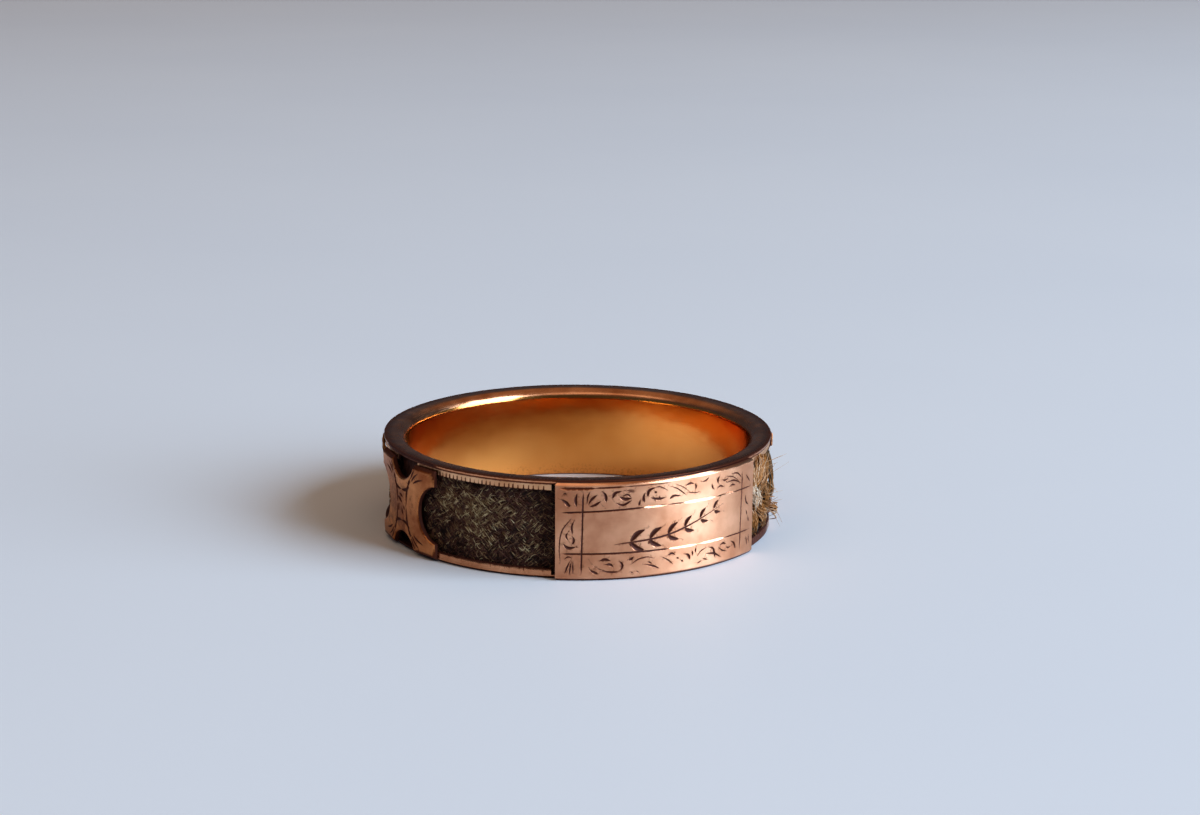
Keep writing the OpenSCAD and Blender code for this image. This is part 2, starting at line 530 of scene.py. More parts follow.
# %% [markdown]
# Along the inside of each flange runs a low rim, milled with tiny upright nicks, and it frames the hair
# like the edge of a picture. A nick could be a bump in the material, but up close the real ones break the
# rim's outline, so each is a true V cut. The rim is lofted like the band, with extra outlines at both lips
# and at the bottom of every nick. The photograph shows the upper rim crisp, and the lower one rubbed nearly
# smooth.

# %% Milled rims
rim_inset = 0.06
rim_r = flange_r - rim_inset
rim_t = 0.14
upper_rim_h = 0.33
lower_rim_h = 0.28
rim_end_gap = 1.2
bite_half = 6.1
nick_pitch = 1.4
nick_half = 0.34
nick_depth = 0.05
nick_lean = 0.12
lower_nicks_reach = 14
free_edge_wobble = 0.012
free_edge_wear = 0.045
hoop_crease = 38

rim_spans = [
    (plaque_half + rim_end_gap, near_angle - bite_half),
    (near_angle + bite_half, far_angle - bite_half),
    (far_angle + bite_half, 360 - far_angle - bite_half),
    (360 - far_angle + bite_half, 360 - near_angle - bite_half),
    (360 - near_angle + bite_half, 360 - plaque_half - rim_end_gap),
]


def rim_outline(angle, nick, upper, wear, seed):
    """Section of a rim at one angle. nick is how deep the cut is there, as a share of a full one.

    wear, 0 or 1, says whether the rim's free edge is rubbed uneven."""
    rubbed = wear * free_edge_wear * noise.noise(Vector((angle * 0.9, seed, 0)))
    free_edge = free_edge_wobble * wobble(angle * 2, seed) + rubbed
    flush_r = flange_r - 0.001 + out_of_round(angle)
    rim_h = upper_rim_h if upper else lower_rim_h
    face, joint, joint_dirt = (rim_r, rim_h, 0.3) if upper else (flush_r, rim_h + 0.04, 0.0)
    rows = [
        (rim_r - rim_t, 0.0, 1.0),
        (face - 0.06, free_edge, 0.9),
        (face - 0.02 - nick * nick_depth * 0.6, free_edge + 0.02, 0.2 + 0.5 * nick),
        (face - nick * nick_depth, free_edge + 0.07, 0.6 * nick),
        (face - nick * nick_depth * 0.8, rim_h * 0.55, 0.45 * nick),
        (face, rim_h - 0.06, 0.0),
        (face, joint, joint_dirt),
        (rim_r - rim_t, joint + 0.01, 1.0),
    ]
    outline = []
    # The lower rim is darker under the burst hair
    darker_under_fray = 0.0 if upper else fray_darker * under_fray(angle)
    for r, z, darkening in rows:
        height = band_height - flange_t - rim_h + z if upper else flange_t + rim_h - z
        outline.append((angle, r, height, max(darkening, darker_under_fray)))
    return outline


def milled_rim(start, end, upper, seed):
    """One stretch of rim: its points, faces and tarnish."""
    rng = np.random.default_rng(seed)
    outlines = [rim_outline(start, 0, upper, 0, seed)]
    angle = start + nick_pitch
    while angle < end - nick_pitch:
        off_plaque = min(abs(angle - plaque_half), abs(angle - 360 + plaque_half))
        near_plaque = math.exp(-off_plaque / lower_nicks_reach)
        cut = rng.uniform(0.45, 1.0) if upper else max(0.0, rng.uniform(-0.5, 0.35) + 0.7 * near_plaque)
        lean = rng.uniform(-nick_lean, nick_lean)
        for offset, nick in ((-nick_half, 0), (0, cut), (nick_half, 0)):
            outlines.append(rim_outline(angle + lean + offset, nick, upper, 0 if upper else 1, seed))
        angle += nick_pitch * rng.uniform(0.86, 1.14)
    outlines.append(rim_outline(end, 0, upper, 0, seed))
    rings = np.array(outlines)
    points, faces = loft(bent(rings[..., :3]), wrap=False)
    return points, faces, rings[..., 3].reshape(-1)


def joined(parts):
    """Several skins, each with points, faces and a number for every point, as one."""
    points, faces, numbers, first = [], [], [], 0
    for some_points, some_faces, some_numbers in parts:
        points.append(some_points)
        numbers.append(some_numbers)
        faces += [tuple(first + corner for corner in face) for face in some_faces]
        first += len(some_points)
    return np.concatenate(points), faces, np.concatenate(numbers)


def mark(made, name, numbers):
    """Store a number at every point of a mesh, for its material to read."""
    stored = made.data.attributes.new(name, "FLOAT", "POINT")
    stored.data.foreach_set("value", np.asarray(numbers, np.float32))


def face_outwards(made):
    """Turn every face of a closed mesh outwards."""
    shape = bmesh.new()
    shape.from_mesh(made.data)
    bmesh.ops.recalc_face_normals(shape, faces=shape.faces)
    shape.to_mesh(made.data)
    shape.free()


lower_rims, upper_rims = [], []
for number, (start, end) in enumerate(rim_spans):
    lower_rims.append(milled_rim(start, end, False, 10 + 2 * number))
    upper_rims.append(milled_rim(start, end, True, 11 + 2 * number))
plain_parts = [(band_points, band_faces, band_tarnish_and_shade)] + lower_rims
plain_faces = sum(len(faces) for _, faces, _ in plain_parts)
hoop_points, hoop_faces, hoop_tarnish_and_shade = joined(plain_parts + upper_rims)
hoop = new_object("rose_gold_hoop", hoop_points, hoop_faces, band_gold)
face_outwards(hoop)
hoop.data.set_sharp_from_angle(angle=math.radians(hoop_crease))
hoop.data.materials.append(bore_gold)
hoop.data.materials.append(rim_gold)
mouth_r = bore_r + 0.05 * worn_r
for face in hoop.data.polygons:
    if face.index >= plain_faces:
        face.material_index = 2
    elif math.hypot(face.center.x, face.center.y) < mouth_r * MM:
        face.material_index = 1
mark(hoop, "tarnish_and_shade", hoop_tarnish_and_shade)
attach(hoop, "root")
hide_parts("band")
print("hoop:", len(hoop.data.polygons), "faces")

# %% [markdown]
# The plaque carries the ring's best work: leaf and scroll borders that an engraver pushed into the gold
# with a pointed steel, between ruled frame lines. A picture of the borders could be mapped on, but it would
# not catch the light, and the finished mesh would be smooth. So each stroke is a real V cut. The plate is
# drawn flat, in degrees from its left end and millimetres from the table. It is triangulated with the sides
# and the deepest line of every stroke in it, and then bent to its radius with each point sunk as deep as
# its stroke.

# %% A stroke of the graver
cut_slope = 0.62
cut_spread = 1.42
soiled_depth = 0.015
soiled_edge = 0.002
stroke_step = 0.07
line_step = 0.3
end_half = 0.004
least_depth = 0.003
taper_power = 0.75


def through(points, step):
    """A smooth line through a few points, sampled about every step."""
    points = np.array(points, float)
    if len(points) == 2:
        count = max(2, int(np.linalg.norm(points[1] - points[0]) / step) + 1)
        return points[0] + np.linspace(0, 1, count)[:, None] * (points[1] - points[0])
    padded = np.vstack([2 * points[0] - points[1], points, 2 * points[-1] - points[-2]])
    line = []
    for a, b, c, d in zip(padded, padded[1:], padded[2:], padded[3:]):
        count = max(2, int(np.linalg.norm(c - b) / step) + 1)
        for t in np.linspace(0, 1, count, endpoint=False):
            bend = 2 * a - 5 * b + 4 * c - d + t * (3 * (b - c) + d - a)
            line.append(b + 0.5 * t * ((c - a) + t * bend))
    return np.array(line + [points[-1]])


def tapered_cut(points, width, fullest=0.5):
    """A cut that swells from nothing to its full width and back, as a graver rolls in and out.

    A cut is its middle line, half its width at each point, how far its deepest line leans to the left
    of the middle, from -1 to 1, and how bright the graver left it, from 0 to 1."""
    line = through(points, stroke_step)
    run = np.concatenate([[0], np.cumsum(np.linalg.norm(np.diff(line, axis=0), axis=1))])
    share = (run / run[-1]) ** (math.log(0.5) / math.log(fullest))
    half = cut_spread * width / 2 * np.sin(math.pi * share) ** taper_power
    half[[0, -1]] = end_half
    return line, half, 0.0, 0.0


def ruled_line(points, width, lean, bright):
    """A frame line of even width, cut along a rule, with the graver tipped over for a leaning one."""
    line = through(points, line_step)
    half = np.full(len(line), width / 2)
    half[[0, -1]] = end_half
    return line, half, lean, bright


def depth_at(points, cuts):
    """How deep, how dirty and how bright the cuts are at each of many flat points."""
    deepest, dirtiest, brightest = np.zeros((3, len(points)))
    for line, half, lean, bright in cuts:
        reach = half.max() + 0.01
        near = np.all((points > line.min(0) - reach) & (points < line.max(0) + reach), axis=1)
        p = points[near]
        best = np.full(len(p), -1.0)
        for a, b, half_a, half_b in zip(line, line[1:], half, half[1:]):
            t = np.clip((p - a) @ (b - a) / max((b - a) @ (b - a), 1e-12), 0, 1)
            away = p - a - t[:, None] * (b - a)
            left = np.sign((b - a)[0] * away[:, 1] - (b - a)[1] * away[:, 0])
            wide = half_a + t * (half_b - half_a)
            across = left * np.linalg.norm(away, axis=1) / wide
            share = np.where(across > lean, (1 - across) / (1 - lean), (1 + across) / (1 + lean))
            best = np.maximum(best, share * wide * (1 + abs(lean)))
        darkening = (1 - bright) * np.clip((best + soiled_edge) / soiled_depth, 0, 1)
        deepest[near] = np.maximum(deepest[near], best)
        dirtiest[near] = np.maximum(dirtiest[near], darkening)
        brightest[near] = np.maximum(brightest[near], bright * (best > least_depth))
    return np.where(deepest > least_depth, deepest * cut_slope, 0), dirtiest, brightest


print("a stroke 0.1 mm wide is", round(0.05 * cut_spread * cut_slope, 3), "mm deep")

# %% [markdown]
# A flat plate with strokes is a drawing of lines that may cross each other. Constrained Delaunay
# triangulation fills such a drawing with triangles that never cross a line, so every crease stays sharp.
# A loose grid of extra points between the lines keeps the triangles small enough to bend well. The sides
# and the back of the plate come from the same points, pushed in to the radius that it is seated on.

# %% Bending a drawn plate
plate_grid = 0.22
# Tarnish along a plate's outline, partly dirt and partly painted shade where it meets the band
border_dirt_and_shade = 0.55
hidden_dirt = 0.8
plate_crease = 17
uncut_limit = 0.0005


def creases(line, half, lean, bright):
    """The two sides of a cut and its deepest line."""
    along = np.gradient(line, axis=0)
    along /= np.linalg.norm(along, axis=1)[:, None] + 1e-12
    across = np.stack([-along[:, 1], along[:, 0]], -1) * half[:, None]
    return line + across, line - across, line + lean * across


def triangulated(outline, lines):
    """Flat points and triangles inside an outline, with the lines kept as edges."""
    points, edges = [], []
    for line, closed in [(outline, True)] + [(line, False) for line in lines]:
        first = len(points)
        points += [Vector(p) for p in line]
        edges += [(i, i + 1) for i in range(first, len(points) - 1)]
        if closed:
            edges.append((len(points) - 1, first))
    low, high = outline.min(0) + plate_grid / 2, outline.max(0) - plate_grid / 2
    for row, y in enumerate(np.arange(low[1], high[1], plate_grid * 0.87)):
        across = np.arange(low[0], high[0], plate_grid) + (row % 2) * plate_grid / 2
        points += [Vector((x, y)) for x in across]
    flat, _, triangles, _, _, _ = delaunay_2d_cdt(points, edges, [], 1, 0.0015)
    return np.array([tuple(p) for p in flat]), np.array(triangles)


def bent_plate(name, middle, radius, seat, outline, lines, drop, shine, grime_and_shade, cuts, material):
    """A plate bent round the ring from a drawing in millimetres along and up, with its strokes cut in.

    drop gives how far the face falls at each point, shine is the polish where it falls, and the next
    function gives the tarnish and painted shade of the open face at each point."""
    strokes = [crease for cut in cuts for crease in creases(*cut)]
    flat, triangles = triangulated(outline, lines + strokes)
    depth, darkening, bright = depth_at(flat, cuts)
    fall = drop(flat)
    fallen = np.clip(fall / fall.max() * 3, 0, 1)
    count = len(flat)
    # Tarnish with painted shade: the face's own, then the outline's, where the plate meets the band
    darkening = np.maximum(darkening, grime_and_shade(flat))
    darkening[:len(outline)] = border_dirt_and_shade
    bright = np.maximum(bright, shine * fallen)
    angle = middle + np.degrees(flat[:, 0] / radius)
    front = np.stack([angle, radius - fall - depth, flat[:, 1]], -1)
    back = np.stack([angle, np.full(count, seat), flat[:, 1]], -1)
    sides = np.concatenate([triangles[:, pair] for pair in ([0, 1], [1, 2], [2, 0])])
    sides = np.sort(sides, axis=1)
    border, times = np.unique(sides, axis=0, return_counts=True)
    walls = [(a, b, b + count, a + count) for a, b in border[times == 1]]
    faces = [tuple(t) for t in triangles] + [tuple(t[::-1] + count) for t in triangles] + walls
    made = new_object(name, bent(np.vstack([front, back])), faces, material)
    face_outwards(made)
    made.data.set_sharp_from_angle(angle=math.radians(plate_crease))
    mark(made, "tarnish_and_shade", np.concatenate([darkening, np.full(count, hidden_dirt)]))
    mark(made, "polish", np.concatenate([bright, np.zeros(count)]))
    smooth_uncut(made, radius)
    return made


def smooth_uncut(made, radius):
    """Give every uncut face the normals of a true cylinder, so that its gloss shows no triangles."""
    mesh = made.data
    normals = [(0, 0, 0)] * len(mesh.loops)
    height = np.array([math.hypot(v.co.x, v.co.y) for v in mesh.vertices])
    plain = np.abs(height - radius * MM) < uncut_limit * MM
    for face in mesh.polygons:
        if all(plain[v] for v in face.vertices):
            for loop in face.loop_indices:
                spot = mesh.vertices[mesh.loops[loop].vertex_index].co
                normals[loop] = (spot.x / radius / MM, spot.y / radius / MM, 0)
    mesh.normals_split_custom_set(normals)


# %% [markdown]
# The borders come as short tables, one row for each stroke: its width, where along it the graver went
# deepest, and two to four places that it passes. The strokes make leaves, commas, fans and C scrolls in
# the manner of any Victorian pattern book. The tall side panels have a flame and a tuft of grass.

# %% The plaque's borders
# Columns: width in mm, fullest part as a share, then points as degrees from the left end and height in mm
TOP_BORDER = [
    (0.13, 0.70, (1.0, 4.12), (2.6, 3.98), (4.0, 3.70)),
    (0.06, 0.50, (2.2, 4.32), (2.7, 4.38), (3.2, 4.30)),
    (0.11, 0.55, (5.9, 4.38), (5.5, 4.05), (5.8, 3.72)),
    (0.07, 0.55, (8.5, 3.86), (8.7, 4.20), (9.3, 4.46)),
    (0.09, 0.55, (8.9, 3.82), (9.8, 4.10), (11.2, 4.30)),
    (0.10, 0.50, (9.2, 3.72), (10.6, 3.80), (12.2, 3.98)),
    (0.12, 0.60, (12.4, 4.50), (13.4, 4.26), (13.6, 3.92)),
    (0.06, 0.50, (12.6, 3.76), (13.2, 3.72)),
    (0.10, 0.35, (15.3, 4.10), (15.9, 4.35), (17.9, 4.45)),
    (0.13, 0.45, (17.2, 4.18), (18.4, 4.05), (20.5, 4.06)),
    (0.06, 0.50, (18.0, 4.19), (19.4, 4.26), (20.5, 4.06)),
    (0.09, 0.55, (16.0, 3.90), (18.0, 3.75), (20.6, 3.96)),
    (0.05, 0.50, (19.0, 4.45), (20.2, 4.47), (21.4, 4.45)),
    (0.04, 0.50, (19.2, 4.38), (20.2, 4.39), (21.4, 4.37)),
    (0.08, 0.60, (22.9, 3.97), (22.5, 3.66)),
    (0.11, 0.60, (24.3, 4.32), (23.8, 4.05), (24.1, 3.80)),
    (0.10, 0.35, (25.0, 4.08), (25.3, 4.37), (27.2, 4.51)),
    (0.05, 0.40, (27.0, 4.50), (28.6, 4.50), (30.8, 4.30)),
    (0.10, 0.50, (25.7, 4.02), (27.8, 3.92), (30.2, 3.95)),
    (0.05, 0.50, (26.6, 4.08), (27.2, 3.80)),
    (0.06, 0.50, (28.2, 4.06), (28.7, 3.84)),
    (0.09, 0.50, (26.9, 4.32), (27.6, 4.18)),
    (0.09, 0.35, (31.4, 3.84), (32.6, 3.97), (35.0, 3.92)),
    (0.05, 0.60, (31.0, 4.52), (33.8, 4.30), (36.6, 3.92)),
    (0.03, 0.50, (33.0, 4.56), (35.6, 4.34), (37.6, 4.05)),
    (0.08, 0.50, (36.2, 4.38), (37.6, 4.48), (39.0, 4.42)),
    (0.07, 0.50, (39.3, 4.42), (39.7, 4.28), (39.5, 4.14)),
    (0.04, 0.50, (37.0, 4.05), (39.0, 3.97), (41.2, 3.96)),
    (0.07, 0.60, (41.5, 4.47), (42.8, 4.46), (44.1, 4.60)),
    (0.07, 0.55, (45.2, 4.27), (45.3, 4.10), (45.9, 3.94)),
    (0.09, 0.50, (48.0, 4.54), (47.3, 4.36), (47.6, 4.18)),
    (0.07, 0.50, (47.1, 3.95), (48.4, 4.03), (49.7, 3.95)),
    (0.06, 0.50, (49.1, 4.33), (50.2, 4.25), (51.6, 4.32)),
    (0.06, 0.45, (51.0, 4.12), (54.0, 4.12), (57.0, 3.88)),
    (0.07, 0.50, (52.0, 3.85), (53.2, 3.93), (54.5, 3.86)),
    (0.05, 0.50, (52.8, 4.50), (55.5, 4.42), (57.6, 4.10)),
    (0.04, 0.50, (50.6, 4.44), (53.6, 4.30), (56.0, 4.02)),
]
BOTTOM_BORDER = [
    (0.07, 0.80, (9.0, 1.10), (10.8, 0.72), (13.8, 0.46), (17.2, 0.42)),
    (0.11, 0.45, (12.0, 1.02), (13.4, 1.07), (15.0, 0.99)),
    (0.11, 0.60, (13.3, 0.81), (14.6, 0.82), (15.7, 0.69)),
    (0.10, 0.68, (9.0, 0.70), (9.8, 0.50), (11.6, 0.36)),
    (0.09, 0.50, (17.2, 0.98), (18.1, 0.75), (17.7, 0.48)),
    (0.11, 0.50, (19.7, 1.00), (20.4, 1.01), (21.2, 1.13)),
    (0.05, 0.50, (20.5, 0.76), (22.4, 0.98), (25.0, 1.06), (27.1, 0.95)),
    (0.05, 0.50, (20.2, 0.40), (21.2, 0.30)),
    (0.05, 0.50, (21.8, 0.42), (22.8, 0.31)),
    (0.09, 0.60, (24.0, 0.71), (26.2, 0.61), (28.6, 0.42)),
    (0.07, 0.50, (25.2, 0.83), (26.5, 0.69)),
    (0.05, 0.50, (29.0, 1.00), (31.0, 0.80), (32.7, 0.53)),
    (0.09, 0.50, (31.0, 1.02), (32.2, 1.09), (33.3, 0.99)),
    (0.08, 0.50, (33.7, 0.86), (34.5, 0.75)),
    (0.09, 0.50, (35.1, 0.69), (35.9, 0.58)),
    (0.09, 0.65, (35.9, 0.97), (37.5, 0.87), (38.0, 0.62)),
    (0.07, 0.50, (38.7, 1.07), (38.9, 0.80)),
    (0.07, 0.50, (40.0, 1.18), (39.7, 0.92)),
    (0.05, 0.50, (40.5, 0.74), (41.6, 0.94), (43.5, 1.06)),
    (0.06, 0.50, (40.4, 0.35), (42.0, 0.45)),
    (0.06, 0.50, (42.3, 0.54), (44.0, 0.43)),
    (0.09, 0.65, (44.0, 1.07), (46.0, 0.93), (46.8, 0.45)),
    (0.08, 0.50, (43.4, 0.76), (46.4, 0.66), (49.0, 0.39)),
    (0.05, 0.50, (48.0, 0.92), (49.4, 0.72), (51.3, 0.60)),
    (0.07, 0.50, (48.5, 0.99), (49.8, 1.06), (51.0, 0.98)),
    (0.06, 0.50, (51.0, 0.83), (52.0, 0.75), (53.1, 0.78)),
    (0.09, 0.60, (53.0, 1.06), (54.5, 0.86), (55.0, 0.57)),
]
SIDE_PANELS = [
    (0.05, 0.40, (4.3, 3.12), (1.9, 2.50), (1.2, 1.70), (1.5, 0.90)),
    (0.08, 0.60, (5.2, 3.05), (4.5, 2.72), (4.7, 2.36)),
    (0.08, 0.50, (3.5, 2.45), (3.0, 2.25), (3.6, 2.03)),
    (0.10, 0.60, (4.5, 2.30), (5.1, 2.05), (4.6, 1.84)),
    (0.11, 0.50, (2.2, 1.88), (3.5, 1.66), (5.5, 1.71)),
    (0.06, 0.60, (4.2, 1.04), (3.4, 0.75), (2.7, 0.40)),
    (0.07, 0.60, (4.5, 1.02), (4.1, 0.70), (3.9, 0.33)),
    (0.06, 0.60, (4.9, 1.04), (4.8, 0.72), (4.9, 0.36)),
    (0.05, 0.50, (2.6, 1.10), (3.5, 1.22), (4.6, 1.16)),
    (0.07, 0.50, (59.4, 3.14), (59.9, 2.78), (61.1, 2.60)),
    (0.07, 0.50, (59.9, 2.36), (60.5, 2.08)),
    (0.06, 0.50, (60.9, 1.95), (61.5, 1.70)),
    (0.06, 0.50, (59.5, 4.20), (60.4, 4.02), (61.6, 3.78)),
    (0.06, 0.50, (60.1, 0.98), (60.8, 0.52)),
    (0.05, 0.50, (61.4, 1.02), (61.6, 0.62)),
]
# Columns: width in mm, lean, brightness, then two ends as degrees from the left end and height in mm
# Brightness is bright-cut polish that keeps tarnish out. The lines on the plaque's left are tarnished dark
# as painted shade, and those where the window flashes on them are kept clean.
FRAME_LINES = [
    (0.10, 0.0, 0.0, (7.5, 4.47), (7.0, 0.35)),
    (0.08, 0.0, 0.1, (57.8, 4.42), (57.0, 0.45)),
    (0.10, 0.4, 0.2, (1.6, 3.41), (24.2, 3.56)),
    (0.12, 0.5, 1.0, (23.4, 3.56), (31.0, 3.57)),
    (0.08, 0.4, 0.3, (30.6, 3.57), (36.2, 3.56)),
    (0.13, 0.5, 1.0, (35.4, 3.56), (46.6, 3.54)),
    (0.12, 0.5, 1.0, (47.2, 3.54), (54.0, 3.53)),
    (0.07, 0.2, 0.1, (53.6, 3.53), (62.0, 3.52)),
    (0.10, 0.4, 0.1, (1.5, 1.36), (31.6, 1.35)),
    (0.12, 0.5, 1.0, (30.8, 1.35), (40.4, 1.34)),
    (0.12, 0.5, 1.0, (41.0, 1.34), (50.4, 1.33)),
    (0.07, 0.2, 0.1, (50.0, 1.33), (61.6, 1.31)),
    (0.18, 0.0, 0.6, (1.0, 4.61), (11.0, 4.62)),
    (0.12, 0.0, 0.5, (10.5, 4.63), (19.0, 4.65)),
    (0.05, 0.0, 0.2, (18.6, 4.66), (32.0, 4.66)),
]
print("border strokes:", len(TOP_BORDER + BOTTOM_BORDER + SIDE_PANELS), "frame lines:", len(FRAME_LINES))

# %% [markdown]
# The middle of such a plaque is left for the jeweller to fill. This reusable ring has a sprig there: one
# curved stem, pointed leaves on both sides that shrink towards the tip, and a seed dot past each leaf. A
# sprig has a rule, as a scroll border hasn't, so a loop works it out.

# %% The sprig in the middle
sprig_start = (16.0, 1.80)
sprig_bend = (32.0, 2.10)
sprig_tip = (49.5, 3.10)
stem_width = 0.08
sprig_pairs = 6
first_pair, pairs_stretch = 0.13, 0.78
leaf_length, leaf_shortens = 0.98, 0.5
leaf_width, leaf_narrows = 0.21, 0.45
leaf_spread, leaf_curl = 46, 0.45
lower_leaf = 0.86
leaf_off_stem, dot_off_leaf, dot_length, dot_width = 0.07, 0.16, 0.09, 0.06


def step_towards(place, heading, length):
    """The place that lies so far from another in a direction."""
    return place + length * np.array([math.cos(heading), math.sin(heading)])


def to_mm(points):
    """Flat millimetres from degrees from the plaque's left end and heights."""
    points = np.array(points, float)
    return np.stack([np.radians(points[:, 0] - plaque_half) * plaque_r, points[:, 1]], -1)


def sprig():
    """Cuts for a leafy sprig that climbs to the right."""
    ends = to_mm([sprig_start, sprig_bend, sprig_tip])
    stem = through(ends, stroke_step)
    cuts = [tapered_cut(ends, stem_width, fullest=0.4)]
    for pair in range(sprig_pairs):
        share = first_pair + pairs_stretch * pair / (sprig_pairs - 1)
        at = int(share * (len(stem) - 2))
        heading = math.atan2(*(stem[at + 1] - stem[at])[::-1])
        for side in (-1, 1):
            grow = leaf_length * (1 - leaf_shortens * share) * (1.0 if side > 0 else lower_leaf)
            lean = heading + side * math.radians(leaf_spread)
            curl = heading + side * math.radians(leaf_spread * leaf_curl)
            root = step_towards(stem[at], lean, leaf_off_stem)
            half_way = step_towards(root, lean, 0.5 * grow)
            tip = step_towards(half_way, curl, 0.5 * grow)
            wide = leaf_width * (1 - leaf_narrows * share)
            cuts.append(tapered_cut([root, half_way, tip], wide, fullest=0.42))
            dot = step_towards(tip, curl, dot_off_leaf)
            cuts.append(tapered_cut([dot, step_towards(dot, lean, dot_length)], dot_width))
    return cuts


def engraved(table):
    """Cuts from a table of strokes, each a touch uneven as by hand."""
    rng = np.random.default_rng(4)
    cuts = []
    for width, fullest, *places in table:
        cuts.append(tapered_cut(to_mm(places), width * rng.uniform(0.9, 1.12), fullest))
    return cuts


plaque_cuts = engraved(TOP_BORDER + BOTTOM_BORDER + SIDE_PANELS) + sprig()
for width, lean, bright, *places in FRAME_LINES:
    plaque_cuts.append(ruled_line(to_mm(places), width, lean, bright))
print("plaque:", len(plaque_cuts), "strokes")

# %% [markdown]
# The plaque's long edges are filed to a bevel that leans up and out. This bevel is what flashes white
# under the window. Its short ends are only rubbed round. Both come from one rule for how far a point
# drops by its distance from the edges.

# %% The plaque
plaque_low, plaque_high = plate_span("plaque")[4:]
plaque_reach = math.radians(plaque_half) * plaque_r
plaque_seat = plate_span("plaque")[2]
bevel_h = 0.15
bevel_d = 0.11
end_round = 0.06
end_drop = 0.035
plaque_foot = 0.065
# Painted shade along the plaque's foot, just above the table
foot_painted_shade = 0.5
plaque_corner = 0.11
plaque_shine = 0.9


def plaque_drop(flat):
    """How far the plaque's face falls near its edges."""
    from_edge = np.minimum(flat[:, 1] - plaque_low, plaque_high - flat[:, 1])
    from_end = plaque_reach - np.abs(flat[:, 0])
    bevel = bevel_d * np.clip(1 - from_edge / bevel_h, 0, 1) ** 1.15
    rounding = end_drop * np.clip(1 - from_end / end_round, 0, 1) ** 1.6
    return np.maximum(bevel, rounding)


def plaque_painted_shade(flat):
    """The open face is clean, as a cloth reaches all of it, and only the foot is painted dark as shade."""
    return foot_painted_shade * (flat[:, 1] < plaque_low + plaque_foot)


def rectangle(reach, low, high, corner, step=0.25):
    """A closed outline with clipped corners."""
    sides = [
        ((-reach + corner, low), (reach - corner, low)),
        ((reach, low + corner), (reach, high - corner)),
        ((reach - corner, high), (-reach + corner, high)),
        ((-reach, high - corner), (-reach, low + corner)),
    ]
    return np.vstack([through(side, step) for side in sides])


plaque_lines = []
for inside in (0.12, 0.4, 0.75, 1.0):
    for z in (plaque_low + bevel_h * inside, plaque_high - bevel_h * inside):
        plaque_lines.append(through([(-plaque_reach + 0.02, z), (plaque_reach - 0.02, z)], line_step))
for x in (plaque_reach - end_round, plaque_reach - end_round / 2):
    for side in (-x, x):
        plaque_lines.append(through([(side, plaque_low + 0.02), (side, plaque_high - 0.02)], line_step))
plaque_outline = rectangle(plaque_reach, plaque_low, plaque_high, plaque_corner)
plaque = bent_plate(
    "engraved_plaque", 0, plaque_r, plaque_seat,
    plaque_outline, plaque_lines, plaque_drop, plaque_shine, plaque_painted_shade, plaque_cuts, plaque_gold,
)
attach(plaque, "root")
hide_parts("plaque")
print("plaque:", len(plaque.data.polygons), "faces")

# %% [markdown]
# Four small plates hold the hair down between the windows. Each is a rectangle with a round bite out of
# every side, so it ends in four horns. Its outline is easy to write as arcs. The plates are thinner than
# the plaque, with browner metal and rounder edges. Only the left one shows for certain in the photograph,
# and the other three repeat it.

# %% The saddles' outline
saddle_low, saddle_high = plate_span("saddle_right")[4:]
saddle_seat, saddle_r = plate_span("saddle_right")[2:4]
saddle_reach = math.radians(plate_span("saddle_right")[1] - near_angle) * saddle_r
saddle_mid = (saddle_low + saddle_high) / 2
saddle_rise = (saddle_high - saddle_low) / 2
edge_bite_r, edge_bite_depth = 1.12, 0.86
end_bite_r, end_bite_depth = 1.47, 1.24
saddle_round = 0.09


def bite_arc(middle, radius, facing, spread):
    """The edge of one bite, clockwise. facing points from the bite into the plate."""
    return arc_points(middle, radius, facing + spread, facing - spread, 22)


def saddle_outline():
    """Closed outline in mm along and up, against the clock, with a bite in each side."""
    edge_away = saddle_rise - edge_bite_depth + edge_bite_r
    end_away = saddle_reach - end_bite_depth + end_bite_r
    edge_spread = math.degrees(math.acos((edge_away - saddle_rise) / edge_bite_r))
    end_spread = math.degrees(math.acos((end_away - saddle_reach) / end_bite_r))
    rows = [(-saddle_reach, -saddle_rise)] + bite_arc((0, -edge_away), edge_bite_r, 90, edge_spread)
    rows += [(saddle_reach, -saddle_rise)] + bite_arc((end_away, 0), end_bite_r, 180, end_spread)
    rows += [(saddle_reach, saddle_rise)] + bite_arc((0, edge_away), edge_bite_r, -90, edge_spread)
    rows += [(-saddle_reach, saddle_rise)] + bite_arc((-end_away, 0), end_bite_r, 0, end_spread)
    return np.array(rows) + (0, saddle_mid)


def distance_to(outline, points):
    """Distance from each point to a closed outline."""
    best = np.full(len(points), np.inf)
    for a, b in zip(outline, np.roll(outline, -1, axis=0)):
        t = np.clip((points - a) @ (b - a) / ((b - a) @ (b - a)), 0, 1)
        best = np.minimum(best, np.linalg.norm(points - a - t[:, None] * (b - a), axis=1))
    return best


def inset(outline, gap):
    """The outline moved inwards by a gap."""
    ahead = np.roll(outline, -1, axis=0) - outline
    ahead /= np.linalg.norm(ahead, axis=1)[:, None]
    turned = ahead + np.roll(ahead, 1, axis=0)
    turned /= np.linalg.norm(turned, axis=1)[:, None]
    return outline + np.stack([-turned[:, 1], turned[:, 0]], -1) * gap


saddle_shape = saddle_outline()
print("saddle outline:", len(saddle_shape), "points,", round(2 * saddle_reach, 2), "mm long")

# %% [markdown]
# Each saddle has a line that follows its bites, a fan of fine rays in every horn, and a few leaf cuts round
# its middle. One quarter is written down and mirrored into the other three, and the small cuts in the
# middle are left as they lie on the left plate.

